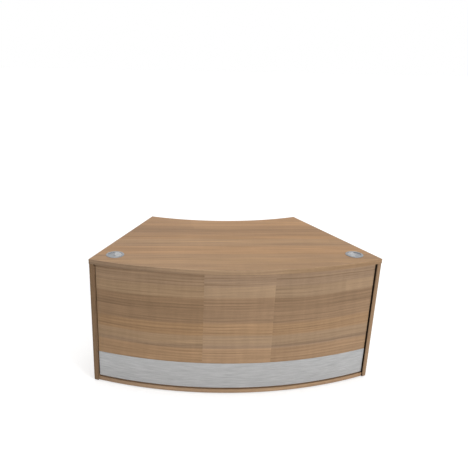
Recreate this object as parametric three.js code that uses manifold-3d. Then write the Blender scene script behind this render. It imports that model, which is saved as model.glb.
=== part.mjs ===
// A curved reception desk: a 45 degree sector of board, open at the back, with a bowed front on battens.
// Millimetres, +Z up. The origin is on the floor under the middle of the desk, and the front faces -Y.
import * as THREE from "three";
import { mergeVertices } from "three/addons/utils/BufferGeometryUtils.js";
import Module from "manifold-3d";

const wasm = await Module();
wasm.setup();

// Plan of the desk
const SECTOR_ANGLE = THREE.MathUtils.degToRad(45);
const OUTER_RADIUS = 2000; // front edge of the worktop
const INNER_RADIUS = 1200; // back edge of the worktop
const CARCASS_HEIGHT = 715; // underside of the panels to the top of the worktop

// Boards and their edging
const WORKTOP_BOARD = 25;
const END_BOARD = 25;
const BASE_BOARD = 22;
const FRONT_BOARD = 18;
const EDGING = 2;
const SEAT_GAP = 0.3; // glue line or clearance between pieces that seat on each other

// Where the carcass stands inside the worktop's outline
const END_FRONT_SETBACK = 3;
const END_REAR_SETBACK = 30;
const FRONT_SETBACK = 10; // base edge and kick plate, behind the worktop's front edge
const BASE_DEPTH = 160;

// Bowed front and its shadow gaps
const SIDE_SHADOW_GAP = 7;
const BOTTOM_SHADOW_GAP = 11;
const CENTRE_PANEL_ARC = 361; // width of the middle front panel, along its outer face
const PANEL_JOINT = 0.5;
const KICK_HEIGHT = 148;
const KICK_SHEET = 1.2;

// Battens behind the front
const BATTEN_DEPTH = 25;
const BATTEN_HEIGHT = 40;
const JOINT_BATTEN_WIDTH = 90;
const JOINT_BATTEN_BOARD = 18;
const END_BATTEN_WIDTH = 32;

// Levelling feet
const FOOT_PAD_HEIGHT = 5;
const FOOT_PAD_RADIUS = 11;
const FOOT_PAD_CHAMFER = 1.5;
const FOOT_STEM_RADIUS = 4;
const FOOT_STEM_LENGTH = 17;
const INSERT_RADIUS = 7;
const INSERT_LENGTH = 15;
const FOOT_BORE_SPARE = 2; // bore depth beyond the top of the stem
const END_FOOT_INSET = 30; // from the end panel's front and rear edges
const BASE_FOOT_ARC = 300; // from the middle of the base, along the feet's own radius

// Cam fasteners
const CAM_RADIUS = 7.5;
const CAM_DEPTH = 12.5;
const CAM_REACH = 34; // cam centre to the edge of its board
const CAM_SLOT_WIDTH = 2.4;
const CAM_SLOT_LENGTH = 10;
const CAM_SLOT_DEPTH = 3;
const BOLT_RADIUS = 3.5;
const BOLT_THREAD_RADIUS = 3;
const BOLT_THREAD_LENGTH = 11;
const TOP_CAM_INSET = 150; // from the end panel's front and rear edges
const BASE_CAM_INSET = 45; // from the base's front and rear edges

// Cable grommets
const GROMMET_FROM_END = 96;
const GROMMET_FROM_FRONT = 107.5;
const GROMMET_BORE_RADIUS = 40;
const SLEEVE_FLANGE_RADIUS = 47;
const SLEEVE_FLANGE_HEIGHT = 2.5;
const SLEEVE_FLANGE_ROUND = 1.2;
const SLEEVE_LENGTH = 24;
const SLEEVE_WALL = 2.7;
const LEDGE_WIDTH = 3;
const LEDGE_DEPTH = 4; // below the top of the worktop
const LID_HEIGHT = 5.9;
const LID_RIM = 3.3;
const LID_FLOOR = 3.4;
const SLOT_INNER_RADIUS = 9;
const SLOT_OUTER_RADIUS = 29;
const SLOT_ANGLE = THREE.MathUtils.degToRad(130);
const SHUTTER_SHEET = 2;
const SHUTTER_HUB_RADIUS = 7;
const SHUTTER_PIN_RADIUS = 3;
const GRIP_RADIUS = 21; // middle of the finger ridge on the shutter
const GRIP_WIDTH = 4;
const GRIP_HEIGHT = 1.5;
const GRIP_ANGLE = THREE.MathUtils.degToRad(70);
const GROMMET_TURN = THREE.MathUtils.degToRad(45); // the slot faces the middle of the desk, and the back

// Faceting
const FACET_ANGLE = THREE.MathUtils.degToRad(1.25);
const ROUND_SIDES = 32;
const BORE_SIDES = 16;
const CUT_SPARE = 1; // how far a cutter reaches past the face it opens
const MERGE_DISTANCE = 1e-4; // vertices closer than this are one

// Derived planes, radii and heights
const HALF_ANGLE = SECTOR_ANGLE / 2;
const ARC_CENTRE_Y = (OUTER_RADIUS + INNER_RADIUS * Math.cos(HALF_ANGLE)) / 2;
const FLOOR_GAP = FOOT_PAD_HEIGHT;
const TOP = FLOOR_GAP + CARCASS_HEIGHT;
const WORKTOP_UNDERSIDE = TOP - WORKTOP_BOARD;
const BASE_TOP = FLOOR_GAP + BASE_BOARD;
const PANEL_TOP = WORKTOP_UNDERSIDE - SEAT_GAP;
const BESIDE_END_PANEL = END_BOARD + SEAT_GAP;

const END_FRONT = OUTER_RADIUS - END_FRONT_SETBACK;
const END_REAR = INNER_RADIUS + END_REAR_SETBACK;
const BASE_FRONT = OUTER_RADIUS - FRONT_SETBACK;
const BASE_REAR = BASE_FRONT - BASE_DEPTH;
const KICK_FACE = OUTER_RADIUS - FRONT_SETBACK;
const KICK_BACK = KICK_FACE - KICK_SHEET;
const FRONT_FACE = KICK_BACK - SEAT_GAP;
const FRONT_BACK = FRONT_FACE - FRONT_BOARD;
const FRONT_BOTTOM = BASE_TOP + BOTTOM_SHADOW_GAP;
const FRONT_END_INSET = END_BOARD + SIDE_SHADOW_GAP;
const SEAM_ANGLE = CENTRE_PANEL_ARC / 2 / FRONT_FACE;
const BATTEN_FACE = FRONT_BACK - SEAT_GAP;
const BATTEN_BACK = BATTEN_FACE - BATTEN_DEPTH;
const POST_BOTTOM = BASE_TOP + BATTEN_HEIGHT + 2 * SEAT_GAP;
const POST_TOP = PANEL_TOP - BATTEN_HEIGHT - SEAT_GAP;

const SLEEVE_RADIUS = GROMMET_BORE_RADIUS - SEAT_GAP;
const SLEEVE_BORE = SLEEVE_RADIUS - SLEEVE_WALL;
const LID_RADIUS = SLEEVE_BORE - SEAT_GAP;
const RECESS_RADIUS = LID_RADIUS - LID_RIM;
const LID_BOTTOM = TOP - LEDGE_DEPTH + SEAT_GAP;
const RECESS_FLOOR = LID_BOTTOM + LID_FLOOR;

const SIDES = [
  { name: "left", side: -1 },
  { name: "right", side: 1 },
];

// Materials
const finish = (color, roughness, metalness) =>
  new THREE.MeshStandardMaterial({ color, roughness, metalness });
const WALNUT = finish(0x9c7a59, 0.55, 0);
const WALNUT_EDGING = finish(0x94714f, 0.5, 0);
const BRUSHED_ALUMINIUM = finish(0xb4b4b4, 0.4, 0.9);
const SILVER_PLASTIC = finish(0xa4a6a8, 0.4, 0.3);
const BLACK_PLASTIC = finish(0x1c1c1d, 0.6, 0);
const BLACK_BATTEN = finish(0x2a2623, 0.8, 0);
const PLAIN_BATTEN = finish(0xb79a76, 0.75, 0);
const ZINC = finish(0x9d9fa1, 0.35, 0.9);

const desk = new THREE.Group();

function addPiece(name, geometry, material, placed = new THREE.Matrix4()) {
  const mesh = new THREE.Mesh(geometry, material.clone());
  mesh.name = name;
  mesh.applyMatrix4(placed);
  desk.add(mesh);
}

// Booleans
function solidOf(geometry) {
  const bare = geometry.clone();
  bare.deleteAttribute("normal");
  bare.deleteAttribute("uv");
  const merged = mergeVertices(bare, MERGE_DISTANCE);
  const mesh = new wasm.Mesh({
    numProp: 3,
    vertProperties: merged.attributes.position.array,
    triVerts: new Uint32Array(merged.index.array),
  });
  return new wasm.Manifold(mesh);
}

function geometryOf(solid) {
  const { vertProperties, triVerts } = solid.getMesh();
  const geometry = new THREE.BufferGeometry();
  geometry.setAttribute("position", new THREE.BufferAttribute(new Float32Array(vertProperties), 3));
  geometry.setIndex(new THREE.BufferAttribute(new Uint32Array(triVerts), 1));
  geometry.computeVertexNormals();
  return geometry;
}

function cut(geometry, tools) {
  const left = tools.reduce((solid, tool) => solid.subtract(solidOf(tool)), solidOf(geometry));
  return geometryOf(left);
}

function join(geometries) {
  const [first, ...others] = geometries.map(solidOf);
  return geometryOf(others.reduce((solid, other) => solid.add(other), first));
}

// Plain shapes
function box(x0, x1, y0, y1, z0, z1) {
  const geometry = new THREE.BoxGeometry(x1 - x0, y1 - y0, z1 - z0);
  return geometry.translate((x0 + x1) / 2, (y0 + y1) / 2, (z0 + z1) / 2);
}

function uprightRod(radius, z0, z1, x = 0, y = 0, sides = BORE_SIDES) {
  const geometry = new THREE.CylinderGeometry(radius, radius, z1 - z0, sides);
  return geometry.rotateX(Math.PI / 2).translate(x, y, (z0 + z1) / 2);
}

function crosswiseRod(radius, x0, x1, y, z, sides = BORE_SIDES) {
  const geometry = new THREE.CylinderGeometry(radius, radius, Math.abs(x1 - x0), sides);
  return geometry.rotateZ(Math.PI / 2).translate((x0 + x1) / 2, y, z);
}

// A solid of revolution about +Z from a closed profile of [radius, height] points
function turned(profile) {
  const points = profile.map(([radius, height]) => new THREE.Vector2(radius, height));
  return new THREE.LatheGeometry(points, ROUND_SIDES).rotateX(Math.PI / 2);
}

// A flat ring sector about the Z axis, centred on +Y
function ringSector(inner, outer, angle, z0, z1) {
  const middle = Math.PI / 2;
  const shape = new THREE.Shape();
  shape.absarc(0, 0, outer, middle - angle / 2, middle + angle / 2, false);
  shape.absarc(0, 0, inner, middle + angle / 2, middle - angle / 2, true);
  const options = { depth: z1 - z0, bevelEnabled: false, curveSegments: BORE_SIDES / 2 };
  return new THREE.ExtrudeGeometry(shape, options).translate(0, 0, z0);
}

// Boards that follow the desk's arcs. Angles are counted from the middle of the front, rightwards.
const alongEnd = (side, inset) => (radius) => side * (HALF_ANGLE - Math.asin(inset / radius));
const alongRadius = (angle) => () => angle;
const betweenEnds = (inset) => ({ left: alongEnd(-1, inset), right: alongEnd(1, inset) });

function arcBoard({ outer, inner, left, right, bottom, top }) {
  const heading = (angle) => angle - Math.PI / 2;
  const shape = new THREE.Shape();
  shape.absarc(0, ARC_CENTRE_Y, outer, heading(left(outer)), heading(right(outer)), false);
  shape.absarc(0, ARC_CENTRE_Y, inner, heading(right(inner)), heading(left(inner)), true);
  // An arc gets two facets for each of its curve segments
  const curveSegments = Math.ceil((right(outer) - left(outer)) / FACET_ANGLE / 2);
  const options = { depth: top - bottom, bevelEnabled: false, curveSegments };
  return new THREE.ExtrudeGeometry(shape, options).translate(0, 0, bottom);
}

// Frame of one end of the desk: -side * inset along x, minus the distance from the arc centre along y
function endFrame(side) {
  const turn = new THREE.Matrix4().makeRotationZ(side * HALF_ANGLE);
  return new THREE.Matrix4().makeTranslation(0, ARC_CENTRE_Y, 0).multiply(turn);
}

function endBox(side, inset0, inset1, rear, front, z0, z1) {
  const [x0, x1] = side < 0 ? [inset0, inset1] : [-inset1, -inset0];
  return box(x0, x1, -front, -rear, z0, z1);
}

const inEndFrame = (geometry, side) => geometry.applyMatrix4(endFrame(side));

// Feet: a steel stem in a threaded insert, on a plastic pad
const footBore = (x, y) => {
  const top = FLOOR_GAP + FOOT_STEM_LENGTH + FOOT_BORE_SPARE;
  return uprightRod(INSERT_RADIUS + SEAT_GAP, FLOOR_GAP - CUT_SPARE, top, x, y);
};

function addFoot(name, x, y, placed) {
  const insertTop = FLOOR_GAP + INSERT_LENGTH;
  const socket = turned([
    [FOOT_STEM_RADIUS + SEAT_GAP, FLOOR_GAP],
    [INSERT_RADIUS, FLOOR_GAP],
    [INSERT_RADIUS, insertTop],
    [FOOT_STEM_RADIUS + SEAT_GAP, insertTop],
    [FOOT_STEM_RADIUS + SEAT_GAP, FLOOR_GAP],
  ]);
  const padTop = FLOOR_GAP - SEAT_GAP;
  const glide = turned([
    [0, 0],
    [FOOT_PAD_RADIUS - FOOT_PAD_CHAMFER, 0],
    [FOOT_PAD_RADIUS, FOOT_PAD_CHAMFER],
    [FOOT_PAD_RADIUS, padTop],
    [FOOT_STEM_RADIUS, padTop],
    [FOOT_STEM_RADIUS, FLOOR_GAP + FOOT_STEM_LENGTH],
    [0, FLOOR_GAP + FOOT_STEM_LENGTH],
  ]);
  const standing = placed.clone().multiply(new THREE.Matrix4().makeTranslation(x, y, 0));
  addPiece(`${name}_insert`, socket, BLACK_PLASTIC, standing);
  addPiece(name, glide, BLACK_PLASTIC, standing);
}

const END_FEET = [
  { place: "front", along: END_FRONT - END_FOOT_INSET },
  { place: "rear", along: END_REAR + END_FOOT_INSET },
];
const endMiddle = (side) => (-side * END_BOARD) / 2;
const BASE_FOOT_RADIUS = (BASE_FRONT + BASE_REAR) / 2;
const baseFootPlace = (side) => {
  const angle = (side * BASE_FOOT_ARC) / BASE_FOOT_RADIUS;
  return [BASE_FOOT_RADIUS * Math.sin(angle), ARC_CENTRE_Y - BASE_FOOT_RADIUS * Math.cos(angle)];
};

function addFeet() {
  for (const { name, side } of SIDES) {
    for (const { place, along } of END_FEET) {
      addFoot(`${name}_${place}_foot`, endMiddle(side), -along, endFrame(side));
    }
    addFoot(`${name}_base_foot`, ...baseFootPlace(side), new THREE.Matrix4());
  }
}

// Cam fasteners. A bolt's thread bites one board, and a cam in the other board draws its shaft in.
const TOP_CAMS = [
  { place: "front", along: END_FRONT - TOP_CAM_INSET },
  { place: "rear", along: END_REAR + TOP_CAM_INSET },
];
const TOP_CAM_Z = PANEL_TOP - CAM_REACH;
const topBoltRod = (side, along, spare, z0, z1, threadTop) =>
  join([
    uprightRod(BOLT_RADIUS + spare, z0, z1, endMiddle(side), -along),
    uprightRod(BOLT_THREAD_RADIUS + spare, z0, threadTop, endMiddle(side), -along),
  ]);

const BASE_CAMS = [
  { place: "front", along: BASE_FRONT - BASE_CAM_INSET },
  { place: "rear", along: BASE_REAR + BASE_CAM_INSET },
];
const BASE_CAM_INSIDE = BESIDE_END_PANEL + CAM_REACH;
const BASE_BOLT_Z = FLOOR_GAP + BASE_BOARD / 2;
const baseBoltRod = (side, along, spare, threadInset, shaftInset, camInset) =>
  join([
    crosswiseRod(BOLT_RADIUS + spare, -side * shaftInset, -side * camInset, -along, BASE_BOLT_Z),
    crosswiseRod(BOLT_THREAD_RADIUS + spare, -side * threadInset, -side * camInset, -along, BASE_BOLT_Z),
  ]);

// The bore in the end panel's inner face that takes a top cam, and the cam itself with its driver slot
function topCamBody(side, along, spare) {
  const face = END_BOARD - SEAT_GAP + (spare ? CUT_SPARE : 0);
  const back = END_BOARD - SEAT_GAP - CAM_DEPTH - spare;
  return crosswiseRod(CAM_RADIUS + spare, -side * back, -side * face, -along, TOP_CAM_Z);
}

function baseCamBody(side, along, spare) {
  const face = BASE_TOP - SEAT_GAP + (spare ? CUT_SPARE : 0);
  const back = BASE_TOP - SEAT_GAP - CAM_DEPTH - spare;
  return uprightRod(CAM_RADIUS + spare, back, face, -side * BASE_CAM_INSIDE, -along);
}

function addTopCams(name, side) {
  const face = END_BOARD - SEAT_GAP;
  const floor = face - CAM_SLOT_DEPTH;
  for (const { place, along } of TOP_CAMS) {
    const halfLength = CAM_SLOT_LENGTH / 2;
    const halfWidth = CAM_SLOT_WIDTH / 2;
    const z = TOP_CAM_Z;
    const slot = endBox(
      side, floor, face + CUT_SPARE, along - halfLength, along + halfLength, z - halfWidth, z + halfWidth);
    const boltRoom = topBoltRod(side, along, SEAT_GAP, z - SEAT_GAP, PANEL_TOP, PANEL_TOP);
    const cam = cut(topCamBody(side, along, 0), [slot, boltRoom]);
    const bolt = topBoltRod(side, along, 0, z, PANEL_TOP, WORKTOP_UNDERSIDE + BOLT_THREAD_LENGTH);
    addPiece(`${name}_${place}_top_cam`, cam, ZINC, endFrame(side));
    addPiece(`${name}_${place}_top_bolt`, bolt, ZINC, endFrame(side));
  }
}

function addBaseCams(name, side) {
  const face = BASE_TOP - SEAT_GAP;
  for (const { place, along } of BASE_CAMS) {
    const halfLength = CAM_SLOT_LENGTH / 2;
    const halfWidth = CAM_SLOT_WIDTH / 2;
    const slot = endBox(
      side, BASE_CAM_INSIDE - halfLength, BASE_CAM_INSIDE + halfLength,
      along - halfWidth, along + halfWidth, face - CAM_SLOT_DEPTH, face + CUT_SPARE);
    const boltRoom = baseBoltRod(side, along, SEAT_GAP, 0, 0, BASE_CAM_INSIDE + SEAT_GAP);
    const cam = cut(baseCamBody(side, along, 0), [slot, boltRoom]);
    const threadEnd = END_BOARD - BOLT_THREAD_LENGTH;
    const bolt = baseBoltRod(side, along, 0, threadEnd, BESIDE_END_PANEL, BASE_CAM_INSIDE);
    addPiece(`${name}_${place}_base_cam`, cam, ZINC, endFrame(side));
    addPiece(`${name}_${place}_base_bolt`, bolt, ZINC, endFrame(side));
  }
}

// Cable grommets
const grommetFrame = (side) => {
  const along = OUTER_RADIUS - GROMMET_FROM_FRONT;
  return endFrame(side).multiply(new THREE.Matrix4().makeTranslation(-side * GROMMET_FROM_END, -along, 0));
};

function addGrommet(name, side) {
  const placed = grommetFrame(side).multiply(new THREE.Matrix4().makeRotationZ(side * GROMMET_TURN));
  const flangeBottom = TOP + SEAT_GAP;
  const flangeTop = flangeBottom + SLEEVE_FLANGE_HEIGHT;
  const bottom = TOP - SLEEVE_LENGTH;
  const ledge = TOP - LEDGE_DEPTH;
  const lowerBore = SLEEVE_BORE - LEDGE_WIDTH;
  const sleeve = turned([
    [lowerBore, bottom],
    [SLEEVE_RADIUS, bottom],
    [SLEEVE_RADIUS, flangeBottom],
    [SLEEVE_FLANGE_RADIUS, flangeBottom],
    [SLEEVE_FLANGE_RADIUS, flangeTop - SLEEVE_FLANGE_ROUND],
    [SLEEVE_FLANGE_RADIUS - SLEEVE_FLANGE_ROUND, flangeTop],
    [SLEEVE_BORE, flangeTop],
    [SLEEVE_BORE, ledge],
    [lowerBore, ledge],
    [lowerBore, bottom],
  ]);
  const lidBlank = turned([
    [0, LID_BOTTOM],
    [LID_RADIUS, LID_BOTTOM],
    [LID_RADIUS, LID_BOTTOM + LID_HEIGHT],
    [RECESS_RADIUS, LID_BOTTOM + LID_HEIGHT],
    [RECESS_RADIUS, RECESS_FLOOR],
    [0, RECESS_FLOOR],
  ]);
  const below = LID_BOTTOM - CUT_SPARE;
  const above = RECESS_FLOOR + CUT_SPARE;
  const lid = cut(lidBlank, [
    ringSector(SLOT_INNER_RADIUS, SLOT_OUTER_RADIUS, SLOT_ANGLE, below, above),
    uprightRod(SHUTTER_PIN_RADIUS + SEAT_GAP, below, above),
  ]);
  const plateBottom = RECESS_FLOOR + SEAT_GAP;
  const plateTop = plateBottom + SHUTTER_SHEET;
  const plateRadius = RECESS_RADIUS - SEAT_GAP;
  const gripInner = GRIP_RADIUS - GRIP_WIDTH / 2;
  const gripOuter = GRIP_RADIUS + GRIP_WIDTH / 2;
  const shutter = join([
    ringSector(SHUTTER_PIN_RADIUS / 2, plateRadius, Math.PI, plateBottom, plateTop),
    uprightRod(SHUTTER_HUB_RADIUS, plateBottom, plateTop),
    uprightRod(SHUTTER_PIN_RADIUS, LID_BOTTOM, plateTop),
    ringSector(gripInner, gripOuter, GRIP_ANGLE, plateBottom, plateTop + GRIP_HEIGHT),
  ]);
  addPiece(`${name}_grommet_sleeve`, sleeve, SILVER_PLASTIC, placed);
  addPiece(`${name}_grommet_lid`, lid, SILVER_PLASTIC, placed);
  addPiece(`${name}_grommet_shutter`, shutter, SILVER_PLASTIC, placed);
}

// Worktop and its edging
function addWorktop() {
  const levels = { bottom: WORKTOP_UNDERSIDE, top: TOP };
  const behindEdging = EDGING + SEAT_GAP;
  const blank = arcBoard({
    outer: OUTER_RADIUS - behindEdging, inner: INNER_RADIUS + behindEdging,
    ...betweenEnds(behindEdging), ...levels });
  const bores = SIDES.flatMap(({ side }) => [
    uprightRod(GROMMET_BORE_RADIUS, WORKTOP_UNDERSIDE - CUT_SPARE, TOP + CUT_SPARE, 0, 0, ROUND_SIDES)
      .applyMatrix4(grommetFrame(side)),
    ...TOP_CAMS.map(({ along }) =>
      inEndFrame(
        uprightRod(
          BOLT_THREAD_RADIUS + SEAT_GAP, WORKTOP_UNDERSIDE - CUT_SPARE,
          WORKTOP_UNDERSIDE + BOLT_THREAD_LENGTH + SEAT_GAP, endMiddle(side), -along),
        side),
    ),
  ]);
  addPiece("worktop", cut(blank, bores), WALNUT);

  const full = betweenEnds(0);
  const front = arcBoard({ outer: OUTER_RADIUS, inner: OUTER_RADIUS - EDGING, ...full, ...levels });
  const rear = arcBoard({ outer: INNER_RADIUS + EDGING, inner: INNER_RADIUS, ...full, ...levels });
  addPiece("worktop_front_edging", front, WALNUT_EDGING);
  addPiece("worktop_rear_edging", rear, WALNUT_EDGING);
  for (const { name, side } of SIDES) {
    const strip = endBox(
      side, 0, EDGING, INNER_RADIUS + behindEdging, OUTER_RADIUS - behindEdging, WORKTOP_UNDERSIDE, TOP);
    addPiece(`worktop_${name}_edging`, strip, WALNUT_EDGING, endFrame(side));
  }
}

// End panels and their edging
function addEndPanel(name, side) {
  const behindEdging = EDGING + SEAT_GAP;
  const blank = endBox(
    side, 0, END_BOARD, END_REAR + behindEdging, END_FRONT - behindEdging, FLOOR_GAP, PANEL_TOP);
  const bores = [
    ...END_FEET.map(({ along }) => footBore(endMiddle(side), -along)),
    ...TOP_CAMS.flatMap(({ along }) => [
      topCamBody(side, along, SEAT_GAP),
      topBoltRod(side, along, SEAT_GAP, TOP_CAM_Z - SEAT_GAP, PANEL_TOP + CUT_SPARE, PANEL_TOP),
    ]),
    ...BASE_CAMS.map(({ along }) =>
      crosswiseRod(
        BOLT_THREAD_RADIUS + SEAT_GAP, -side * (END_BOARD - BOLT_THREAD_LENGTH - SEAT_GAP),
        -side * (END_BOARD + CUT_SPARE), -along, BASE_BOLT_Z),
    ),
  ];
  addPiece(`${name}_end_panel`, cut(blank, bores), WALNUT, endFrame(side));
  const front = endBox(side, 0, END_BOARD, END_FRONT - EDGING, END_FRONT, FLOOR_GAP, PANEL_TOP);
  const rear = endBox(side, 0, END_BOARD, END_REAR, END_REAR + EDGING, FLOOR_GAP, PANEL_TOP);
  addPiece(`${name}_end_front_edging`, front, WALNUT_EDGING, endFrame(side));
  addPiece(`${name}_end_rear_edging`, rear, WALNUT_EDGING, endFrame(side));
}

// Base: a shallow curved board between the end panels
function addBase() {
  const levels = { bottom: FLOOR_GAP, top: BASE_TOP };
  const ends = betweenEnds(BESIDE_END_PANEL);
  const behindEdging = EDGING + SEAT_GAP;
  const blank = arcBoard({
    outer: BASE_FRONT - behindEdging, inner: BASE_REAR + behindEdging, ...ends, ...levels });
  const bores = SIDES.flatMap(({ side }) => [
    footBore(...baseFootPlace(side)),
    ...BASE_CAMS.flatMap(({ along }) => [
      inEndFrame(baseCamBody(side, along, SEAT_GAP), side),
      inEndFrame(
        baseBoltRod(
          side, along, SEAT_GAP, 0, BESIDE_END_PANEL - CUT_SPARE, BASE_CAM_INSIDE + SEAT_GAP),
        side),
    ]),
  ]);
  addPiece("base_panel", cut(blank, bores), WALNUT);
  const front = arcBoard({ outer: BASE_FRONT, inner: BASE_FRONT - EDGING, ...ends, ...levels });
  const rear = arcBoard({ outer: BASE_REAR + EDGING, inner: BASE_REAR, ...ends, ...levels });
  addPiece("base_front_edging", front, WALNUT_EDGING);
  addPiece("base_rear_edging", rear, WALNUT_EDGING);
}

// Bowed front: three panels butted at two seams, with one metal sheet across their feet
function addFront() {
  const levels = { bottom: FRONT_BOTTOM, top: PANEL_TOP };
  const radii = { outer: FRONT_FACE, inner: FRONT_BACK };
  const halfJoint = PANEL_JOINT / 2 / FRONT_FACE;
  const seam = (side, clear) => alongRadius(side * (SEAM_ANGLE + clear));
  const panels = {
    front_panel_left: { left: alongEnd(-1, FRONT_END_INSET), right: seam(-1, halfJoint) },
    front_panel_centre: { left: seam(-1, -halfJoint), right: seam(1, -halfJoint) },
    front_panel_right: { left: seam(1, halfJoint), right: alongEnd(1, FRONT_END_INSET) },
  };
  for (const [name, ends] of Object.entries(panels)) {
    addPiece(name, arcBoard({ ...radii, ...ends, ...levels }), WALNUT);
  }
  const sheet = arcBoard({
    outer: KICK_FACE, inner: KICK_BACK, ...betweenEnds(FRONT_END_INSET),
    bottom: FRONT_BOTTOM, top: FRONT_BOTTOM + KICK_HEIGHT });
  addPiece("kick_plate", sheet, BRUSHED_ALUMINIUM);
}

// Battens that carry the front: curved ones on the base and under the worktop, upright ones between them
function addBattens() {
  const rail = { outer: BATTEN_FACE, inner: BATTEN_BACK, ...betweenEnds(BESIDE_END_PANEL) };
  const low = { bottom: BASE_TOP + SEAT_GAP, top: BASE_TOP + SEAT_GAP + BATTEN_HEIGHT };
  const high = { bottom: PANEL_TOP - BATTEN_HEIGHT, top: PANEL_TOP };
  addPiece("base_batten", arcBoard({ ...rail, ...low }), PLAIN_BATTEN);
  addPiece("top_batten", arcBoard({ ...rail, ...high }), PLAIN_BATTEN);

  const upright = { bottom: POST_BOTTOM, top: POST_TOP };
  const halfWidth = JOINT_BATTEN_WIDTH / 2 / BATTEN_FACE;
  for (const { name, side } of SIDES) {
    const seam = side * SEAM_ANGLE;
    const post = arcBoard({
      outer: BATTEN_FACE, inner: BATTEN_FACE - JOINT_BATTEN_BOARD,
      left: alongRadius(seam - halfWidth), right: alongRadius(seam + halfWidth), ...upright });
    addPiece(`${name}_joint_batten`, post, PLAIN_BATTEN);

    const outside = alongEnd(side, BESIDE_END_PANEL);
    const inside = alongEnd(side, BESIDE_END_PANEL + END_BATTEN_WIDTH);
    const [left, right] = side < 0 ? [outside, inside] : [inside, outside];
    const stop = arcBoard({ outer: BATTEN_FACE, inner: BATTEN_BACK, left, right, ...upright });
    addPiece(`${name}_end_batten`, stop, BLACK_BATTEN);
  }
}

addWorktop();
addBase();
addFront();
addBattens();
addFeet();
for (const { name, side } of SIDES) {
  addEndPanel(name, side);
  addTopCams(name, side);
  addBaseCams(name, side);
  addGrommet(name, side);
}

export default desk;
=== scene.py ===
"""A curved reception desk: walnut decor boards, a brushed kick plate and cable grommets.

Metres, +Z up. The front of the desk faces -Y, and its arcs share one centre behind the desk.
"""

import math

import bmesh
import bpy
from mathutils import Matrix, Vector


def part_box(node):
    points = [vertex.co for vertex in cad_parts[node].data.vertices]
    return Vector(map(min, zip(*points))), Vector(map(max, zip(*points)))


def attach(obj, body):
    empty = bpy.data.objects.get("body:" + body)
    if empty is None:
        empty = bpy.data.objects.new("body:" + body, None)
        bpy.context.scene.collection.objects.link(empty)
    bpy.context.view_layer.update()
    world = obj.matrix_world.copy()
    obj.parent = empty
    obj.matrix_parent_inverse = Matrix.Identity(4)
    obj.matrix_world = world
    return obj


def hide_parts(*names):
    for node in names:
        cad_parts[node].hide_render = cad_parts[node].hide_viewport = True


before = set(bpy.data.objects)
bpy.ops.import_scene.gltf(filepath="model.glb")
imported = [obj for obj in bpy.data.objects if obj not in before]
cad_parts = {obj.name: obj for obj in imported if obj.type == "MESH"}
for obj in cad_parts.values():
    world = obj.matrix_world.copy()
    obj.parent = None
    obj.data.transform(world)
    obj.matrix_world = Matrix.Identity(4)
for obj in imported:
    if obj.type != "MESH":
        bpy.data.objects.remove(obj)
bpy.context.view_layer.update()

# Plan of the desk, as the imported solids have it
HALF_ANGLE = math.radians(22.5)
OUTER_RADIUS = 2.0
INNER_RADIUS = 1.2
ARC_CENTRE_Y = (OUTER_RADIUS + INNER_RADIUS * math.cos(HALF_ANGLE)) / 2
GLUE_LINE = 0.0003  # gap between solids that seat on each other
SIDES = {"left": -1, "right": 1}

# Mesh detail
ARC_STEP = math.radians(0.5)
ROUND_SEGMENTS = 96
SMALL_SEGMENTS = 48
GRIP_SEGMENTS = 14
ROUND_STEPS = 3
SHARP_ANGLE = math.radians(30)
CUT_SPARE = 0.01  # how far a cutter runs past the face it opens
EDGING_ROUND = 0.0012
BOARD_ROUND = 0.0004
BATTEN_ROUND = 0.0015
SHEET_ROUND = 0.0003
FITTING_ROUND = 0.0003
FITTING_STEPS = 2
FITTING_WELD = 0.00003  # corners of a fitting that are closer than this become one
GLUE_CLOSED = 0.00025  # how far a board is drawn on to meet its edging
SEAM_CLOSED = 0.00022  # how far a front panel is drawn on to meet the next one

# Cable grommets
FLANGE_LIP = 0.0006  # thickness of the flange at its outer edge
FLANGE_CREST = 0.0025  # width of the level crest round the lid
FLANGE_STEPS = 8
LID_ROUND = 0.0006
SLOT_ANGLE = math.radians(130)
SLOT_INNER_RADIUS = 0.009
SLOT_OUTER_RADIUS = 0.029
PIN_RADIUS = 0.003
PIN_CLEARANCE = 0.0004
HUB_RADIUS = 0.007
HUB_RISE = 0.0006
GRIP_RADIUS = 0.021
GRIP_WIDTH = 0.004
GRIP_ANGLE = math.radians(70)
SHUTTER_ROUND = 0.0005

# Levelling feet
STEM_RADIUS = 0.004
THREAD_PITCH = 0.00125
THREAD_DEPTH = 0.0005
PAD_ROUND = 0.0012

# Camera, in pixels of a square picture
PICTURE = 468
FOCAL_PIXELS = 534.6
AXIS_PIXEL_X = 197.0
CAMERA_PLACE = Vector((-0.3699, -2.8469, 1.7459))
CAMERA_YAW = 0.06092
CAMERA_PITCH = 0.33446
CAMERA_ROLL = 0.02201
SENSOR = 36.0

# Light
WORLD_LIGHT = 0.28
WHITE = (1.0, 1.0, 1.0, 1.0)
KEY_LIGHT = 2.0
KEY_AZIMUTH = math.radians(45)  # to the right of the front
KEY_HEIGHT = math.radians(18)
KEY_SPREAD = math.radians(20)
BACK_LIGHT = 0.7
BACK_AZIMUTH = math.radians(165)
BACK_HEIGHT = math.radians(12)
BACK_SPREAD = math.radians(60)
TOP_LIGHT = 1.7
TOP_AZIMUTH = KEY_AZIMUTH
TOP_HEIGHT = math.radians(88)
TOP_SPREAD = math.radians(40)
FLOOR_COLOUR = (0.6, 0.6, 0.6, 1.0)
FLOOR_ROUGHNESS = 0.9
FLOOR_SHEEN = 0.1
FLOOR_GLOW = 0.5  # what the floor needs to show as white
FLOOR_REACH = 40.0
VIEW_REACH = 4 * FLOOR_REACH


# Mesh helpers
def polar(point):
    """Radius and angle of a point about the arcs' centre; angles grow to the right of the middle."""
    back = ARC_CENTRE_Y - point.y
    return math.hypot(point.x, back), math.atan2(point.x, back)


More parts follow.
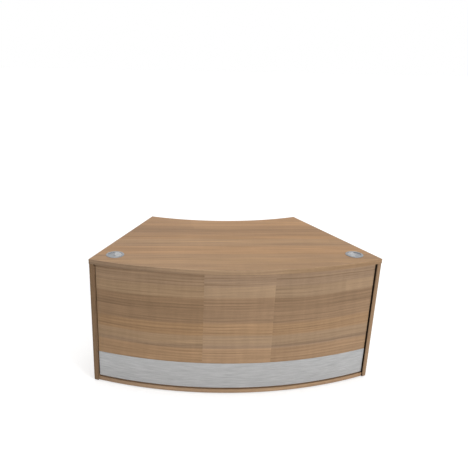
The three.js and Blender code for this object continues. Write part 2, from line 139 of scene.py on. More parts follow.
def on_arc(radius, angle, height):
    return Vector((radius * math.sin(angle), ARC_CENTRE_Y - radius * math.cos(angle), height))


def end_frame(side):
    """Matrix from the frame of one end, where x is minus side times the inset, to the desk's."""
    return Matrix.Translation((0, ARC_CENTRE_Y, 0)) @ Matrix.Rotation(side * HALF_ANGLE, 4, "Z")


def node_points(node):
    return [vertex.co.copy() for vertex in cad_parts[node].data.vertices]


def limits(points):
    low = Vector(min(point[axis] for point in points) for axis in range(3))
    high = Vector(max(point[axis] for point in points) for axis in range(3))
    return low, high


def upright_axis(node):
    """Matrix that puts z = 0 of a turned piece's own frame on the axis of an upright round node."""
    low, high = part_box(node)
    return Matrix.Translation(((low.x + high.x) / 2, (low.y + high.y) / 2, 0))


def rings_of(node):
    """Radius from the node's own upright axis, and height, of each corner of a round CAD node."""
    axis = upright_axis(node).translation
    return [(math.hypot(point.x - axis.x, point.y - axis.y), point.z) for point in node_points(node)]


def round_edges(bm, width, chosen):
    """Rounds the sharp edges whose middle is chosen, and marks the new faces as worn."""
    bm.normal_update()
    edges = [
        edge
        for edge in bm.edges
        if len(edge.link_faces) == 2
        and edge.calc_face_angle() > SHARP_ANGLE
        and chosen((edge.verts[0].co + edge.verts[1].co) / 2)
    ]
    worn = bm.faces.layers.float.new("worn")
    made = bmesh.ops.bevel(
        bm,
        geom=edges,
        offset=width,
        segments=ROUND_STEPS,
        profile=0.5,
        affect="EDGES",
        clamp_overlap=True,
    )
    for face in made["faces"]:
        face[worn] = 1.0


def new_object(name, bm):
    """An object of a closed mesh, smooth across all but its sharp edges."""
    bmesh.ops.recalc_face_normals(bm, faces=bm.faces)
    mesh = bpy.data.meshes.new(name)
    bm.to_mesh(mesh)
    bm.free()
    mesh.shade_smooth()
    mesh.set_sharp_from_angle(angle=SHARP_ANGLE)
    made = bpy.data.objects.new(name, mesh)
    bpy.context.scene.collection.objects.link(made)
    return made


def new_piece(name, bm, material, body, slot, *nodes):
    """A piece of the desk that rides on a body and stands for the CAD nodes."""
    piece = new_object(name, bm)
    piece.data.materials.append(material)
    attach(piece, body)
    if nodes:
        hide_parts(*nodes)
    return piece


def combine(piece, tools, operation):
    """Cuts closed meshes out of a piece, or joins them to it, for good."""
    for index, bm in enumerate(tools):
        tool = new_object(f"{piece.name}_tool_{index}", bm)
        modifier = piece.modifiers.new("tool", "BOOLEAN")
        modifier.object = tool
        modifier.operation = operation
        modifier.solver = "EXACT"
        bpy.context.view_layer.update()
        evaluated = piece.evaluated_get(bpy.context.evaluated_depsgraph_get())
        shape_before = piece.data
        tool_shape = tool.data
        piece.data = bpy.data.meshes.new_from_object(evaluated)
        piece.modifiers.clear()
        bpy.data.objects.remove(tool)
        bpy.data.meshes.remove(tool_shape)
        bpy.data.meshes.remove(shape_before)
        piece.data.name = piece.name
        piece.data.set_sharp_from_angle(angle=SHARP_ANGLE)


def rod(radius, low, high, placed, segments=ROUND_SEGMENTS):
    """A closed cylinder along z from low to high, then placed by a matrix."""
    bm = bmesh.new()
    bmesh.ops.create_cone(
        bm, cap_ends=True, segments=segments, radius1=radius, radius2=radius, depth=high - low)
    bm.transform(placed @ Matrix.Translation((0, 0, (low + high) / 2)))
    return bm


def turned(profile, placed, segments=ROUND_SEGMENTS):
    """A solid turned about z from a closed list of (radius, height) points, then placed by a matrix."""
    bm = bmesh.new()
    rings = []
    for step in range(segments):
        turn = math.tau * step / segments
        ring = []
        for index, (radius, height) in enumerate(profile):
            if radius == 0 and rings:
                ring.append(rings[0][index])
            else:
                ring.append(bm.verts.new((radius * math.cos(turn), radius * math.sin(turn), height)))
        rings.append(ring)
    for here, there in zip(rings, rings[1:] + rings[:1]):
        for index, corner in enumerate(here):
            onward = (index + 1) % len(profile)
            corners = dict.fromkeys((corner, there[index], there[onward], here[onward]))
            if len(corners) > 2:
                bm.faces.new(corners)
    bm.transform(placed)
    return bm


def quarter(radius, height, across, rise, steps=ROUND_STEPS + 1):
    """A quarter round from (radius, height), where it is upright, to across and rise from there."""
    points = []
    for step in range(steps + 1):
        turn = math.pi / 2 * step / steps
        points.append((radius + across * (1 - math.cos(turn)), height + rise * math.sin(turn)))
    return points


def half_disc(radius, low, high, placed, segments=SMALL_SEGMENTS):
    """A closed half disc on the side of x, from low to high."""
    bm = bmesh.new()
    turns = [math.pi * (step / segments - 0.5) for step in range(segments + 1)]
    outline = [bm.verts.new((radius * math.cos(turn), radius * math.sin(turn), low)) for turn in turns]
    face = bm.faces.new(outline)
    raised = bmesh.ops.extrude_face_region(bm, geom=[face], use_keep_orig=True)
    corners = [item for item in raised["geom"] if isinstance(item, bmesh.types.BMVert)]
    bmesh.ops.translate(bm, verts=corners, vec=(0, 0, high - low))
    bmesh.ops.recalc_face_normals(bm, faces=bm.faces)
    bm.transform(placed)
    return bm


def close_rings(bm, rings):
    """Joins a row of rings, each with the same number of corners, into one closed skin."""
    corners = len(rings[0])
    for here, there in zip(rings, rings[1:]):
        for index in range(corners):
            onward = (index + 1) % corners
            bm.faces.new((here[index], here[onward], there[onward], there[index]))
    bm.faces.new(rings[0])
    bm.faces.new(reversed(rings[-1]))
    bmesh.ops.recalc_face_normals(bm, faces=bm.faces)


def ring_sector(inner, outer, angle, low, high, placed, segments=SMALL_SEGMENTS):
    """A closed block between two radii and two heights, over an angle about the x axis."""
    bm = bmesh.new()
    rings = []
    for step in range(segments + 1):
        turn = angle * (step / segments - 0.5)
        ring = []
        for radius, height in ((inner, low), (outer, low), (outer, high), (inner, high)):
            ring.append(bm.verts.new((radius * math.cos(turn), radius * math.sin(turn), height)))
        rings.append(ring)
    close_rings(bm, rings)
    bm.transform(placed)
    return bm


def arc_mesh(node, width, chosen, grow_round=0.0, grow_ends=0.0):
    """A fine copy of a CAD board that follows the desk's arcs, with the chosen edges rounded."""
    points = node_points(node)
    low, high = limits(points)
    polars = [polar(point) for point in points]
    spans = {}
    for name, pick in (("outer", max), ("inner", min)):
        reach = pick(radius for radius, _ in polars)
        angles = [angle for radius, angle in polars if abs(radius - reach) < GLUE_LINE / 2]
        spans[name] = (reach, min(angles) - grow_ends / reach, max(angles) + grow_ends / reach)
    outer, outer_start, outer_end = spans["outer"]
    inner, inner_start, inner_end = spans["inner"]
    steps = math.ceil((outer_end - outer_start) / ARC_STEP)
    bm = bmesh.new()
    rings = []
    for step in range(steps + 1):
        outer_angle = outer_start + (outer_end - outer_start) * step / steps
        inner_angle = inner_start + (inner_end - inner_start) * step / steps
        corners = (
            on_arc(inner - grow_round, inner_angle, low.z),
            on_arc(outer + grow_round, outer_angle, low.z),
            on_arc(outer + grow_round, outer_angle, high.z),
            on_arc(inner - grow_round, inner_angle, high.z),
        )
        rings.append([bm.verts.new(corner) for corner in corners])
    close_rings(bm, rings)
    round_edges(bm, width, chosen)
    return bm


def straight_mesh(node, side, width, chosen, grow=Vector()):
    """A copy of a CAD board that is square in an end's frame, with the chosen edges rounded."""
    inward = end_frame(side).inverted()
    low, high = limits([inward @ point for point in node_points(node)])
    low -= grow
    high += grow
    bm = bmesh.new()
    bmesh.ops.create_cube(bm, size=1.0)
    bm.transform(Matrix.Translation((low + high) / 2) @ Matrix.Diagonal((*(high - low), 1.0)))
    round_edges(bm, width, chosen)
    bm.transform(end_frame(side))
    return bm


def everywhere(point):
    return True


def nowhere(point):
    return False


def near_radius(radius):
    return lambda point: abs(polar(point)[0] - radius) < GLUE_LINE


def near_levels(*levels):
    return lambda point: min(abs(point.z - level) for level in levels) < GLUE_LINE


# Material helpers
NOISE_RANGE = (0.3, 0.7)  # where nearly all values of a noise lie


class Nodes:
    """A short way to write a material's node tree."""

    def __init__(self, name):
        self.material = bpy.data.materials.new(name)
        self.material.use_nodes = True
        self.tree = self.material.node_tree
        self.shader = self.tree.nodes["Principled BSDF"]

    def add(self, kind, **settings):
        node = self.tree.nodes.new(kind)
        for key, value in settings.items():
            setattr(node, key, value)
        return node

    def link(self, source, socket):
        """Links a socket, or sets a plain value."""
        if isinstance(source, bpy.types.NodeSocket):
            self.tree.links.new(source, socket)
        else:
            socket.default_value = source

    def shade(self, socket, source):
        """Links or sets one of the shader's own sockets."""
        self.link(source, self.shader.inputs[socket])

    def math(self, operation, *values):
        node = self.add("ShaderNodeMath", operation=operation)
        for value, socket in zip(values, node.inputs):
            self.link(value, socket)
        return node.outputs[0]

    def product(self, first, *others):
        for other in others:
            first = self.math("MULTIPLY", first, other)
        return first

    def vector(self, x, y, z):
        node = self.add("ShaderNodeCombineXYZ")
        for value, socket in zip((x, y, z), node.inputs):
            self.link(value, socket)
        return node.outputs[0]

    def noise(self, where, detail=3.0, roughness=0.5, scale=1.0):
        node = self.add("ShaderNodeTexNoise")
        self.link(where, node.inputs["Vector"])
        node.inputs["Scale"].default_value = scale
        node.inputs["Detail"].default_value = detail
        node.inputs["Roughness"].default_value = roughness
        return node.outputs["Fac"]

    def grain(self, place, along_scale, cross_scale, detail, roughness):
        """Noise drawn out along the grain; the scales are in features a metre."""
        along, across, through = place
        where = self.vector(
            self.product(along, along_scale),
            self.product(across, cross_scale),
            self.product(through, cross_scale),
        )
        return self.noise(where, detail, roughness)

    def spread(self, value, low, high, to_low, to_high):
        node = self.add("ShaderNodeMapRange")
        for source, socket in zip((value, low, high, to_low, to_high), node.inputs):
            self.link(source, socket)
        return node.outputs[0]

    def vary(self, noise, to_low, to_high):
        """Spreads the usual range of a noise over another range."""
        return self.spread(noise, *NOISE_RANGE, to_low, to_high)

    def ramp(self, value, stops, interpolation="LINEAR"):
        """Colour and alpha of a ramp whose stops are (position, colour with alpha)."""
        node = self.add("ShaderNodeValToRGB")
        node.color_ramp.interpolation = interpolation
        elements = node.color_ramp.elements
        while len(elements) < len(stops):
            elements.new(1.0)
        for element, (position, colour) in zip(elements, stops):
            element.position = position
            element.color = colour
        self.link(value, node.inputs[0])
        return node.outputs

    def mix(self, share, first, second, blend="MIX"):
        node = self.add("ShaderNodeMix", data_type="RGBA", blend_type=blend)
        sockets = [socket for socket in node.inputs if socket.enabled]
        for value, socket in zip((share, first, second), sockets):
            self.link((*value, 1.0) if isinstance(value, tuple) else value, socket)
        return next(socket for socket in node.outputs if socket.enabled)

    def grey(self, value):
        node = self.add("ShaderNodeCombineColor")
        for socket in node.inputs:
            self.link(value, socket)
        return node.outputs[0]

    def seeded(self, *values):
        """A fixed random number for each set of whole numbers."""
        node = self.add("ShaderNodeTexWhiteNoise", noise_dimensions="3D")
        self.link(self.vector(*values), node.inputs["Vector"])
        return node.outputs["Value"]

    def bump(self, height, distance, strength):
        node = self.add("ShaderNodeBump")
        node.inputs["Strength"].default_value = strength
        node.inputs["Distance"].default_value = distance
        self.link(height, node.inputs["Height"])
        self.shade("Normal", node.outputs[0])

    def worn(self):
        return self.add("ShaderNodeAttribute", attribute_name="worn").outputs["Fac"]

    def place(self):
        """x, y and z in the desk's frame."""
        node = self.add("ShaderNodeSeparateXYZ")
        self.link(self.add("ShaderNodeTexCoord").outputs["Object"], node.inputs[0])
        return node.outputs

    def arc_place(self):
        """Length along the arcs of the front, radius and height."""
        x, y, z = self.place()
        back = self.math("SUBTRACT", ARC_CENTRE_Y, y)
        length = self.product(self.math("ARCTAN2", x, back), OUTER_RADIUS)
        squares = self.math("ADD", self.product(x, x), self.product(back, back))
        return length, self.math("SQRT", squares), z

    def end_place(self, side):
        """Inset, distance from the arcs' centre and height, in the frame of one end of the desk."""
        x, y, z = self.place()
        back = self.math("SUBTRACT", ARC_CENTRE_Y, y)
        sine = math.sin(HALF_ANGLE)
        cosine = math.cos(HALF_ANGLE)
        distance = self.math("ADD", self.product(x, side * sine), self.product(back, cosine))
        inset = self.math("SUBTRACT", self.product(back, sine), self.product(x, side * cosine))
        return inset, distance, z


# Walnut decor: staves in a few tones, lined along the grain, with flecks, pores and a faint ripple
WALNUT_LINE = (0.2, 0.122, 0.066)
WALNUT_BROWN = (0.318, 0.2, 0.115)
WALNUT_TAN = (0.345, 0.218, 0.126)
WALNUT_MAUVE = (0.375, 0.25, 0.156)
WALNUT_ORANGE = (0.402, 0.247, 0.132)
WALNUT_PALE = (0.422, 0.281, 0.168)
WALNUT_GOLD = (0.446, 0.28, 0.158)

# The staves of the decor sheets from the lower or front edge on: width, tone and how strongly lined
PLAIN_STAVES = (
    (0.136, WALNUT_GOLD, 0.42),
    (0.024, WALNUT_MAUVE, 0.7),
    (0.052, WALNUT_PALE, 0.25),
    (0.068, WALNUT_ORANGE, 0.56),
    (0.073, WALNUT_TAN, 0.56),
    (0.073, WALNUT_BROWN, 0.65),
    (0.062, WALNUT_PALE, 0.2),
    (0.072, WALNUT_MAUVE, 1.0),
)
WORKTOP_STAVES = (
    (0.1, WALNUT_MAUVE, 0.5),
    (0.06, WALNUT_PALE, 0.2),
    (0.06, WALNUT_MAUVE, 0.7),
    (0.12, WALNUT_GOLD, 0.42),
    (0.06, WALNUT_MAUVE, 0.8),
    (0.06, WALNUT_PALE, 0.3),
    (0.06, WALNUT_ORANGE, 0.56),
    (0.06, WALNUT_TAN, 0.56),
    (0.06, WALNUT_BROWN, 0.65),
    (0.06, WALNUT_TAN, 0.56),
    (0.19, WALNUT_GOLD, 0.42),
)
STAVE_BLUR = 0.006
STAVE_LENGTH = 0.85
GRAIN_WANDER = 0.03
WANDER_SCALE = 2.0
WANDER_DETAIL = 2.0
BLOCK_TONES = (0.955, 1.04)  # the darkest and the lightest length of a stave
LINE_PITCH = 0.0175  # mean distance of the growth lines
LINE_BEND = 3.0  # how many lines the pitch drifts by

# The layers of the grain: features a metre along and across it, octaves and their roughness
DECOR_LAYERS = {
    "bend": (0.9, 7.0, 1.0, 0.55),
    "growth": (2.0, 14.0, 1.0, 0.55),
    "streaks": (1.2, 48.0, 4.0, 0.65),
    "dashes": (2.5, 62.0, 3.0, 0.6),
    "lines": (1.5, 105.0, 2.0, 0.55),
    "fine": (4.0, 420.0, 5.0, 0.65),
    "pores": (60.0, 1900.0, 2.0, 0.55),
    "ripple": (27.0, 5.0, 2.0, 0.55),
    "flecks": (20.0, 230.0, 1.0, 0.55),
}
# What the layers do to the tone, from their low values to their high ones
STREAK_TONES = (0.94, 1.06)
LINE_TONES = (0.92, 1.07)
FINE_TONES = (0.86, 1.11)
PORE_RANGE = (0.3, 0.45)
PORE_TONES = (0.8, 1.0)
GROWTH_RANGE = (0.35, 0.65)
GROWTH_DEPTHS = (0.02, 0.08)
# The share of the line tone where the lines and the flecks are dark
DARK_LINE_RANGE = (0.3, 0.46)
DARK_LINE_SHARE = 0.6
FLECK_RANGE = (0.14, 0.2)
FLECK_SHARE = 0.55
# Wear on the rounded edges, and the surface
WORN_SHARE = 0.18
WORN_POLISH = 0.12
DECOR_ROUGHNESS = (0.5, 0.62)
DECOR_SHEEN = 0.22
DECOR_BUMP = (0.00012, 0.5)  # distance and strength

# A sheet's staves, how strongly its ripple and its dashes show, and how even its staves are
PLAIN_FIGURE = (PLAIN_STAVES, 0.05, 0.06, 0.0)
WORKTOP_FIGURE = (WORKTOP_STAVES, 0.017, 0.15, 0.25)

# Painted shade in the gaps beside the front: its start and end, outward from the front's face, and
# strength
# The end panels' inner faces are darkened there to stand for the shadow in those gaps
GAP_PAINTED_SHADE = (0.012, 0.008, 0.005)
GAP_SHADE_SPANS = {"left": (0.0, 0.0085, 0.72), "right": (-0.044, 0.0065, 0.97)}


def sheet_width(staves):
    return sum(width for width, _, _ in staves)


def mean_tone(staves):
    """The staves' mean tone, by their widths."""
    sums = (sum(width * tone[channel] for width, tone, _ in staves) for channel in range(3))
    return tuple(total / sheet_width(staves) for total in sums)


def stave_stops(staves):
    """Stops over the sheet's width of two ramps: tone, with the lining as alpha, and stave number."""
    sheet = sheet_width(staves)
    tones = []
    numbers = []
    start = 0.0
    for number, (width, tone, lining) in enumerate(staves):
        colour = (*tone, lining)
        tones.append(((start + STAVE_BLUR) / sheet, colour))
        tones.append(((start + width - STAVE_BLUR) / sheet, colour))
        share = number / len(staves)
        numbers.append((start / sheet, (share, share, share, 1.0)))
        start += width
    return tones, numbers


def lay_staves(nodes, along, level, staves, evenness):
    """Tone and lining of the staves, and the tone of each length of them."""
    share = nodes.math("FRACT", nodes.math("DIVIDE", level, sheet_width(staves)))
    tones, numbers = stave_stops(staves)
    stave, lining = nodes.ramp(share, tones)
    stave = nodes.mix(evenness, stave, mean_tone(staves))
    row = nodes.ramp(share, numbers, "CONSTANT")[0]
    start = nodes.seeded(row, 0.0, 0.0)
    block = nodes.math("FLOOR", nodes.math("ADD", nodes.math("DIVIDE", along, STAVE_LENGTH), start))
    block_tone = nodes.spread(nodes.seeded(row, block, 1.0), 0.0, 1.0, *BLOCK_TONES)
    return stave, lining, block_tone


def walnut(nodes, place, cut, tint, gap_shade, figure):
    """Decor on a board whose place is along, across and through the grain; the cut moves the sheet."""
    staves, ripple_depth, dash_depth, evenness = figure
    along = nodes.math("ADD", place[0], cut[0])
    across = nodes.math("ADD", place[1], cut[1])
    through = place[2]
    drift = nodes.noise(nodes.vector(along, across, through), WANDER_DETAIL, scale=WANDER_SCALE)
    wander = nodes.product(nodes.math("SUBTRACT", drift, 0.5), GRAIN_WANDER)
    level = nodes.math("ADD", across, wander)
    lie = (along, level, through)
    layers = {name: nodes.grain(lie, *layer) for name, layer in DECOR_LAYERS.items()}

    bend = nodes.product(layers["bend"], LINE_BEND)
    turns = nodes.math("ADD", nodes.math("DIVIDE", level, LINE_PITCH), bend)
    growth = nodes.math("SINE", nodes.product(turns, math.tau))
    depth = nodes.spread(layers["growth"], *GROWTH_RANGE, *GROWTH_DEPTHS)
    stave, lining, block_tone = lay_staves(nodes, along, level, staves, evenness)
    value = nodes.product(
        block_tone,
        nodes.math("MULTIPLY_ADD", growth, depth, 1.0),
        nodes.vary(layers["streaks"], *STREAK_TONES),
        nodes.vary(layers["dashes"], 1 - dash_depth, 1 + dash_depth),
        nodes.vary(layers["lines"], *LINE_TONES),
        nodes.vary(layers["fine"], *FINE_TONES),
        nodes.spread(layers["pores"], *PORE_RANGE, *PORE_TONES),
        nodes.vary(layers["ripple"], 1 - ripple_depth, 1 + ripple_depth),
    )
    shade = nodes.mix(1.0, nodes.grey(value), tint, "MULTIPLY")
    colour = nodes.mix(1.0, stave, shade, "MULTIPLY")
    line = nodes.product(nodes.spread(layers["lines"], *DARK_LINE_RANGE, DARK_LINE_SHARE, 0.0), lining)
    fleck = nodes.spread(layers["flecks"], *FLECK_RANGE, FLECK_SHARE, 0.0)
    colour = nodes.mix(nodes.math("MAXIMUM", line, fleck), colour, WALNUT_LINE)
    worn = nodes.worn()
    colour = nodes.mix(nodes.product(worn, WORN_SHARE), colour, WALNUT_PALE)
    if gap_shade is not None:
        # Painted shade: the end panel's inner face is darkened inside the gap beside the front
        colour = nodes.mix(gap_shade, colour, GAP_PAINTED_SHADE)

    nodes.shade("Base Color", colour)
    rough = nodes.vary(layers["fine"], *DECOR_ROUGHNESS)
    nodes.shade("Roughness", nodes.math("SUBTRACT", rough, nodes.product(worn, WORN_POLISH)))
    nodes.shade("Specular IOR Level", DECOR_SHEEN)
    nodes.bump(nodes.product(layers["pores"], layers["fine"]), *DECOR_BUMP)
    return nodes.material


# How a board lies: its place along, across and through the grain; only boards at the ends need the side
def worktop_lay(nodes, side):
    return nodes.place()


def front_lay(nodes, side):
    length, radius, height = nodes.arc_place()
    return length, height, radius


def level_arc_lay(nodes, side):
    return nodes.arc_place()


def upright_lay(nodes, side):
    inset, distance, height = nodes.end_place(side)
    return height, distance, inset


def upright_edge_lay(nodes, side):
    inset, distance, height = nodes.end_place(side)
    return height, inset, distance


def level_edge_lay(nodes, side):
    inset, distance, height = nodes.end_place(side)
    return distance, height, inset


BOARD_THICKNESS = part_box("worktop")[1].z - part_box("worktop")[0].z
FRONT_LENGTH = 2 * HALF_ANGLE * OUTER_RADIUS
WARMTH_IN_GREEN = 1 / 3


def painted_gap_shade(nodes, name, side):
    """Share of painted shade on an end panel: on its inner face, where the gap beside the front shows.
    """
    inset, distance, _ = nodes.end_place(side)
    back, front, strength = GAP_SHADE_SPANS[name]
    face = max(polar(point)[0] for point in node_points(f"front_panel_{name}"))
    return nodes.product(
        nodes.math("GREATER_THAN", inset, BOARD_THICKNESS - GLUE_LINE),
        nodes.math("GREATER_THAN", distance, face + back),
        nodes.math("LESS_THAN", distance, face + front),
        strength,
    )


def decor(name, lay, cut, tone=1.0, side=0, warmth=1.0, gap_shade_end=None, figure=PLAIN_FIGURE, fade=None):
    """Decor for one board; warmth over 1 takes blue, and less of the green, out of it.

    A fade is a row of tints, each at a share of the way from the left end of the front to the right.
    """
    nodes = Nodes(name)
    gap_shade = painted_gap_shade(nodes, gap_shade_end, side) if gap_shade_end else None
    tint = (tone, tone / warmth ** WARMTH_IN_GREEN, tone / warmth)
    if fade:
        share = nodes.math("MULTIPLY_ADD", nodes.arc_place()[0], 1 / FRONT_LENGTH, 0.5)
        tint = nodes.mix(1.0, nodes.ramp(share, fade)[0], tint, "MULTIPLY")
    return walnut(nodes, lay(nodes, side), cut, tint, gap_shade, figure)


# Brushed metal: its layers as in the decor, their ranges, and the surface
BRUSH_FINE = (9.0, 1300.0, 4.0, 0.65)
BRUSH_BROAD = (12.0, 320.0, 4.0, 0.65)
BRUSH_RANGE = (0.25, 0.75)
BRUSH_GREYS = (0.325, 0.515)
BRUSH_TONES = (0.79, 1.2)
BRUSH_ROUGHNESS = (0.44, 0.32)
BRUSH_METALLIC = 0.5
BRUSH_BUMP = (0.00006, 0.5)


def brushed_aluminium(name):
    """Fine brushing along the sheet, with a slow change of tone."""
    nodes = Nodes(name)
    length, radius, height = nodes.arc_place()
    lie = (length, height, radius)
    fine = nodes.grain(lie, *BRUSH_FINE)
    tone = nodes.vary(nodes.grain(lie, *BRUSH_BROAD), *BRUSH_TONES)
    value = nodes.product(nodes.spread(fine, *BRUSH_RANGE, *BRUSH_GREYS), tone)
    nodes.shade("Base Color", nodes.grey(value))
    nodes.shade("Roughness", nodes.spread(fine, *BRUSH_RANGE, *BRUSH_ROUGHNESS))
    nodes.shade("Metallic", BRUSH_METALLIC)
    nodes.bump(fine, *BRUSH_BUMP)
    return nodes.material


# Moulded plastic and castings: scales in features a metre, tones, wear and the surface
MOULD_GRAIN = 2600.0
MOULD_CLOUD = 45.0
MOULD_GRAIN_TONES = (0.93, 1.06)
MOULD_CLOUD_TONES = (0.95, 1.04)
MOULD_WORN = (0.6, 0.6, 0.6)
MOULD_WORN_SHARE = 0.25
MOULD_ROUGHNESS = (-0.05, 0.06)  # how far the grain takes it from its mean
MOULD_BUMP = (0.00003, 0.4)


def moulded(name, colour, roughness, metallic=0.0):
    """Moulded plastic or a cast fitting: a fine grain, and a slow change of tone."""
    nodes = Nodes(name)
    where = nodes.add("ShaderNodeTexCoord").outputs["Object"]
    grain = nodes.noise(where, scale=MOULD_GRAIN)
    cloud = nodes.noise(where, scale=MOULD_CLOUD)
    tone = nodes.vary(cloud, *MOULD_CLOUD_TONES)
    value = nodes.product(nodes.vary(grain, *MOULD_GRAIN_TONES), tone)
    shaded = nodes.mix(1.0, colour, nodes.grey(value), "MULTIPLY")
    worn = nodes.product(nodes.worn(), MOULD_WORN_SHARE)
    nodes.shade("Base Color", nodes.mix(worn, shaded, MOULD_WORN))
    smooth, rough = (roughness + change for change in MOULD_ROUGHNESS)
    nodes.shade("Roughness", nodes.vary(grain, smooth, rough))
    nodes.shade("Metallic", metallic)
    nodes.bump(grain, *MOULD_BUMP)
    return nodes.material


# Bare timber: its layers as in the decor, how they add up, and the surface
TIMBER_RINGS = (1.5, 160.0, 3.0, 0.55)
TIMBER_FIBRES = (25.0, 1500.0, 2.0, 0.55)
RING_SHARE = 0.8
TIMBER_DARK_AT = 0.35
TIMBER_PALE_AT = 0.6
TIMBER_ROUGHNESS = (0.65, 0.8)
TIMBER_BUMP = (0.0001, 0.6)
PINE_PALE = (0.52, 0.37, 0.22)
PINE_DARK = (0.33, 0.21, 0.11)
STAINED_PALE = (0.022, 0.018, 0.015)
STAINED_DARK = (0.012, 0.01, 0.008)


def timber(name, pale, dark, upright):
    """Planed softwood with its growth lines along the batten."""
    nodes = Nodes(name)
    length, radius, height = nodes.arc_place()
    lie = (height, length, radius) if upright else (length, height, radius)
    rings = nodes.product(nodes.grain(lie, *TIMBER_RINGS), RING_SHARE)
    fibres = nodes.grain(lie, *TIMBER_FIBRES)
    share = nodes.math("ADD", rings, nodes.product(fibres, 1 - RING_SHARE))
    stops = ((TIMBER_DARK_AT, (*dark, 1.0)), (TIMBER_PALE_AT, (*pale, 1.0)))
    nodes.shade("Base Color", nodes.ramp(share, stops)[0])
    nodes.shade("Roughness", nodes.vary(fibres, *TIMBER_ROUGHNESS))
    nodes.bump(fibres, *TIMBER_BUMP)
    return nodes.material


ALUMINIUM = brushed_aluminium("brushed_aluminium")
SILVER = moulded("silver_plastic", (0.25, 0.26, 0.275), roughness=0.3, metallic=0.3)
PALE_SILVER = moulded("pale_silver_plastic", (0.41, 0.415, 0.422), roughness=0.28, metallic=0.3)
BLACK = moulded("black_plastic", (0.014, 0.014, 0.015), roughness=0.55)
ZINC = moulded("zinc_casting", (0.4, 0.41, 0.42), roughness=0.38, metallic=0.9)
RAIL_TIMBER = timber("rail_timber", PINE_PALE, PINE_DARK, upright=False)
POST_TIMBER = timber("post_timber", PINE_PALE, PINE_DARK, upright=True)
DARK_TIMBER = timber("dark_timber", STAINED_PALE, STAINED_DARK, upright=True)


# Worktop: where its pieces are cut from the sheet, along and across the grain, and their tones
WORKTOP_CUT = (0.31, OUTER_RADIUS - ARC_CENTRE_Y)
WORKTOP_TONE = 0.885
WORKTOP_WARMTH = 1.2
WORKTOP_FADE = (
    (0.08, (0.93, 0.92, 0.94, 1.0)),
    (0.3, (1.0, 0.99, 1.0, 1.0)),
    (0.5, (1.0, 0.98, 0.96, 1.0)),
    (0.7, (0.98, 0.95, 0.92, 1.0)),
)
BENT_EDGING_CUT = (0.2, 0.305)
BENT_EDGING_TONE = 1.03
BENT_EDGING_FADE = (
    (0.05, (0.73, 0.73, 0.77, 1.0)),
    (0.4, (0.93, 0.93, 0.94, 1.0)),
    (0.61, (0.96, 0.95, 0.95, 1.0)),
    (0.66, (0.85, 0.83, 0.79, 1.0)),
    (0.95, (0.77, 0.72, 0.66, 1.0)),
)
STRAIGHT_EDGING_CUT = (0.5, 0.24)
STRAIGHT_EDGING_TONE = 0.96


def add_worktop():
    board = arc_mesh("worktop", BOARD_ROUND, nowhere, GLUE_CLOSED)
    sheet = decor(
        "worktop_decor",
        worktop_lay,
        WORKTOP_CUT,
        WORKTOP_TONE,
        warmth=WORKTOP_WARMTH,
        figure=WORKTOP_FIGURE,
        fade=WORKTOP_FADE,
    )
    piece = new_piece("worktop_board", board, sheet, "carcass", "walnut_board", "worktop")
    low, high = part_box("worktop")
    bores = []
    for name in SIDES:
        sleeve = f"{name}_grommet_sleeve"
        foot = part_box(sleeve)[0].z + GLUE_LINE
        radius = max(reach for reach, height in rings_of(sleeve) if height < foot) + GLUE_LINE
        bores.append(rod(radius, low.z - CUT_SPARE, high.z + CUT_SPARE, upright_axis(sleeve)))
    combine(piece, bores, "DIFFERENCE")

    for name, radius in (("front", OUTER_RADIUS), ("rear", INNER_RADIUS)):
        node = f"worktop_{name}_edging"
        strip = arc_mesh(node, EDGING_ROUND, near_radius(radius))
        sheet = decor(
            f"{node}_decor", front_lay, BENT_EDGING_CUT, BENT_EDGING_TONE, fade=BENT_EDGING_FADE)
        new_piece(f"{node}_strip", strip, sheet, "carcass", "walnut_edging", node)
    for name, side in SIDES.items():
        node = f"worktop_{name}_edging"
        strip = straight_mesh(node, side, EDGING_ROUND, lambda point: abs(point.x) < GLUE_LINE)
        sheet = decor(
            f"{node}_decor", level_edge_lay, STRAIGHT_EDGING_CUT, STRAIGHT_EDGING_TONE, side)
        new_piece(f"{node}_strip", strip, sheet, "carcass", "walnut_edging", node)


# End panels: where the boards and their edgings are cut from the sheet, and the edgings' tones
END_CUTS = {"left": (0.4, -0.21), "right": (0.4, 0.21)}
END_EDGING_CUTS = {"left": (0.1, -0.3), "right": (0.1, 0.3)}
END_EDGING_TONES = {"left": 0.61, "right": 0.86}


def add_end_panel(name, side):
    node = f"{name}_end_panel"
    board = straight_mesh(node, side, BOARD_ROUND, nowhere, Vector((0, GLUE_CLOSED, 0)))
    # The end panel's decor carries painted shade in the gap beside the front
    sheet = decor(f"{name}_end_decor", upright_lay, END_CUTS[name], side=side, gap_shade_end=name)
    piece = new_piece(f"{name}_end_board", board, sheet, "carcass", "walnut_board", node)
    inward = end_frame(side).inverted()
    crosswise = Matrix.Rotation(math.pi / 2, 4, "Y")
    bores = []
    for place in ("front", "rear"):
        low, high = limits([inward @ point for point in node_points(f"{name}_{place}_top_cam")])
        middle = (low + high) / 2
        radius = (high.z - low.z) / 2 + GLUE_LINE
        reach = (low.x - CUT_SPARE, high.x + GLUE_LINE)
        if side < 0:
            reach = (low.x - GLUE_LINE, high.x + CUT_SPARE)
        placed = end_frame(side) @ Matrix.Translation((0, middle.y, middle.z)) @ crosswise
        bores.append(rod(radius, *reach, placed, SMALL_SEGMENTS))
    combine(piece, bores, "DIFFERENCE")

    for place, pick in (("front", min), ("rear", max)):
        node = f"{name}_end_{place}_edging"
        edge = pick((inward @ point).y for point in node_points(node))
        strip = straight_mesh(node, side, EDGING_ROUND, lambda point: abs(point.y - edge) < GLUE_LINE)
        sheet = decor(
            f"{node}_decor", upright_edge_lay, END_EDGING_CUTS[name], END_EDGING_TONES[name], side)
        new_piece(f"{node}_strip", strip, sheet, "carcass", "walnut_edging", node)


